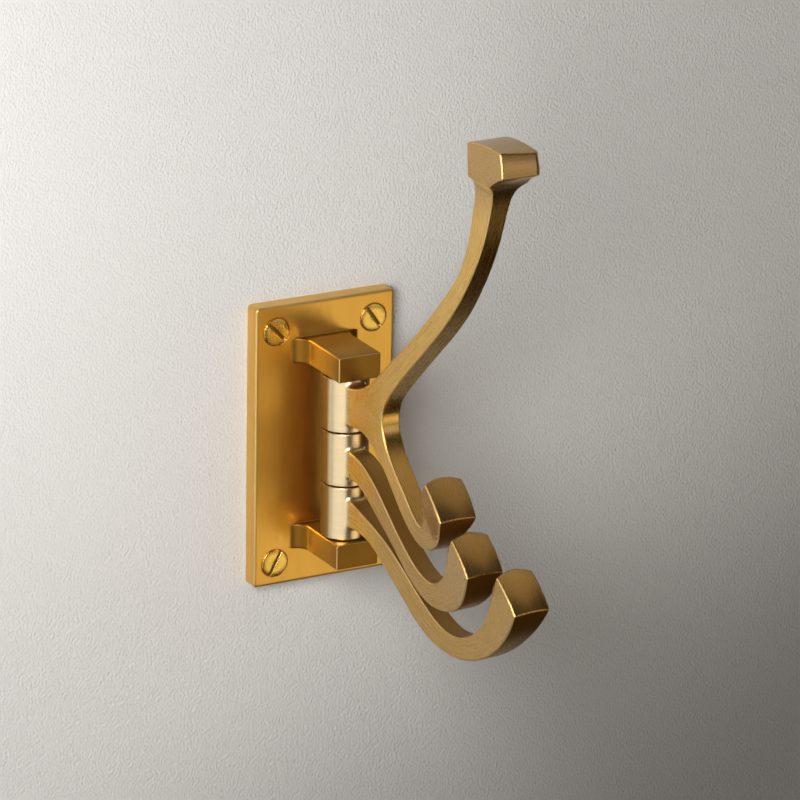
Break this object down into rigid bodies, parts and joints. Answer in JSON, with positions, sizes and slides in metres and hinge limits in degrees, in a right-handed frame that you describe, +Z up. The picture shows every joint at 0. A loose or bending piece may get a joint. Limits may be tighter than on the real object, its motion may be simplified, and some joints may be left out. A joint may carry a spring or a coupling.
{
  "type": "swivel towel hook",
  "caption": "Brass wall hook: arms that swivel on one pin, a coat prong with a square head above nested towel hooks.",
  "frame": {"origin": "centre of the wall plate's back face, on the wall plane", "axes": "+Y points into the wall and -Y out to the front, +X is to the right seen from the front, +Z is up"},
  "size_m": [0.0466, 0.1465, 0.1677],
  "materials": {
    "satin_brass": "satin",
    "screw_brass": "polished"
  },
  "bodies": {
    "backplate": {"backplate": "satin_brass", "pivot_pin": "satin_brass", "wood_screw_top_left": "screw_brass", "wood_screw_top_right": "screw_brass", "wood_screw_bottom_left": "screw_brass", "wood_screw_bottom_right": "screw_brass"},
    "upper_arm": {"upper_arm": "satin_brass"},
    "middle_hook": {"middle_hook": "satin_brass"},
    "lower_hook": {"lower_hook": "satin_brass"}
  },
  "joints": [
    {"name": "upper_arm_swivel", "type": "hinge", "parent": "backplate", "child": "upper_arm", "pos_m": [0, -0.0191, 0], "axis": [0, 0, 1], "range_deg": [-95, 95]},
    {"name": "middle_hook_swivel", "type": "hinge", "parent": "backplate", "child": "middle_hook", "pos_m": [0, -0.0191, 0], "axis": [0, 0, 1], "range_deg": [-97, 93]},
    {"name": "lower_hook_swivel", "type": "hinge", "parent": "backplate", "child": "lower_hook", "pos_m": [0, -0.0191, 0], "axis": [0, 0, 1], "range_deg": [-100, 90]}
  ]
}
